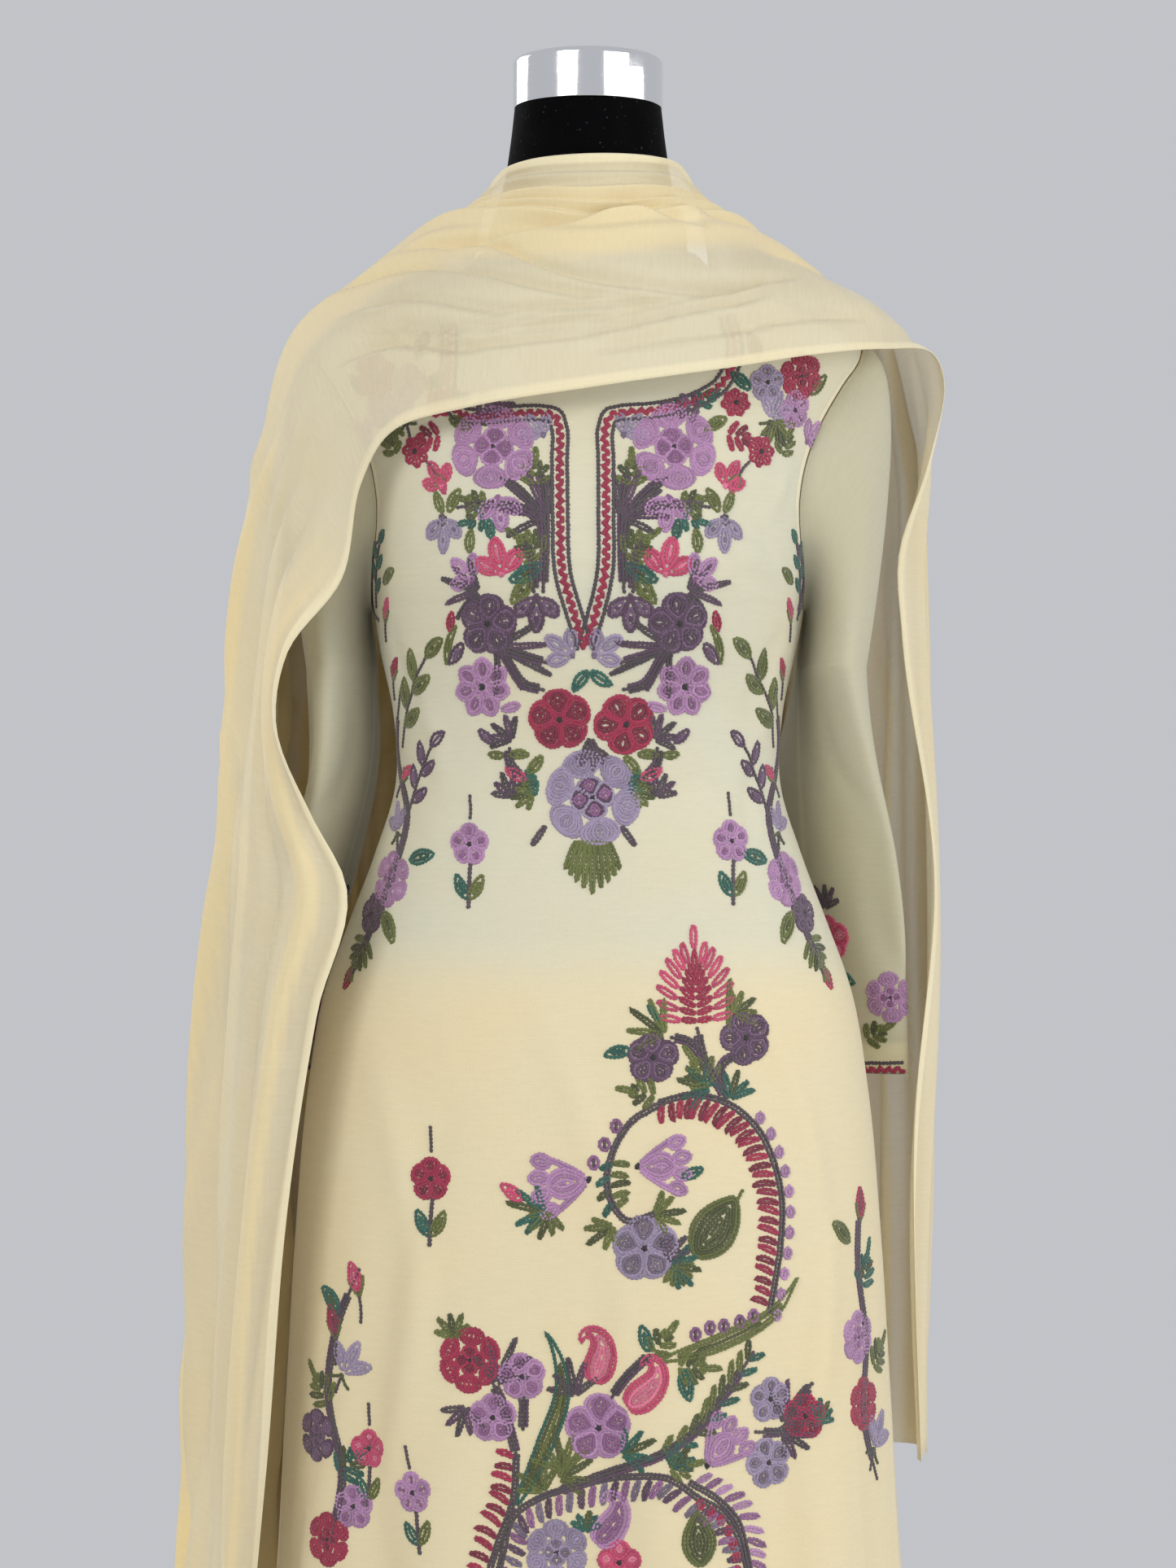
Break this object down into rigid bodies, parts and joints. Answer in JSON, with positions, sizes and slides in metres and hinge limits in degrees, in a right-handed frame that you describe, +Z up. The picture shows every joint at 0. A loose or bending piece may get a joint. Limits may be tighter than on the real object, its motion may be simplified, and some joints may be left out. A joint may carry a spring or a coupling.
{
  "type": "salwar kameez suit on a dress form",
  "caption": "Long-sleeved embroidered kameez with side slits, pleated salwar and a draped dupatta, worn by a limbless dress form on a round-based stand.",
  "frame": {"origin": "On the floor under the middle of the dress form, at the centre of the base's underside.", "axes": "+Z up, the front faces -Y, +X to the right of someone who looks at the front."},
  "size_m": [0.5417, 0.3911, 1.591],
  "materials": {
    "georgette": "matt, sheer weave",
    "chiffon": "matt, sheer weave",
    "santoon": "soft, plain weave",
    "form_cover": "black velvet",
    "chrome": "polished"
  },
  "bodies": {
    "root": {"kameez_front": "georgette", "kameez_back": "georgette", "sleeve_left_inner": "georgette", "sleeve_left_outer": "georgette", "sleeve_right_inner": "georgette", "sleeve_right_outer": "georgette", "dupatta_neck": "chiffon", "dupatta_left_fall": "chiffon", "dupatta_right_fall": "chiffon", "salwar_belt": "santoon", "salwar_leg_left": "santoon", "salwar_leg_right": "santoon", "salwar_cuff_left": "santoon", "salwar_cuff_right": "santoon", "form_torso": "form_cover", "form_neck_cap": "chrome", "stand_pole": "chrome", "stand_collar": "chrome", "stand_base": "chrome"}
  },
  "joints": []
}
